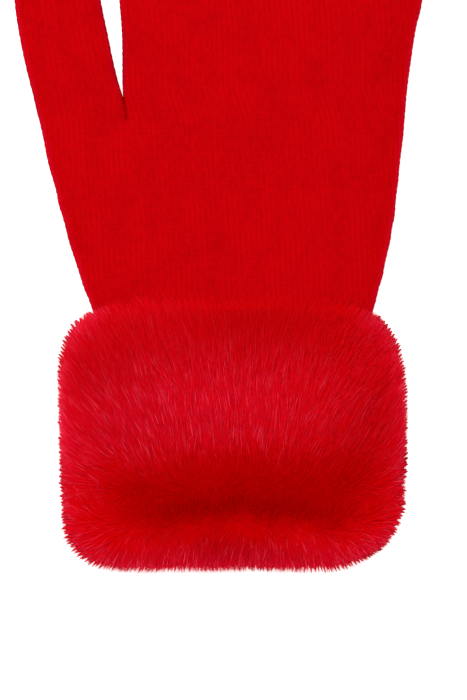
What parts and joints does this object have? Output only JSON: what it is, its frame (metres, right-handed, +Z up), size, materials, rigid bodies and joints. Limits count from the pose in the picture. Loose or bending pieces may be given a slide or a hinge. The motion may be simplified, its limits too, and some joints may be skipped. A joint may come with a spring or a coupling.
{
  "type": "knitted glove with fur cuff",
  "caption": "Fine-knit glove lying flat, hollow from its mouth to the fingertips, with a deep-pile fur cuff round the wrist.",
  "frame": {"origin": "on the surface that the glove lies on, under the middle of its outline", "axes": "+Y from the cuff to the fingertips, +Z up from the surface, thumb towards -X"},
  "size_m": [0.1337, 0.2602, 0.0367],
  "materials": {
    "knit": "fine plain knit, matt, bright red",
    "fur": "long faux-fur pile, soft sheen, bright red"
  },
  "bodies": {
    "root": {"knit_hand": "knit", "fur_cuff": "fur"}
  },
  "joints": []
}
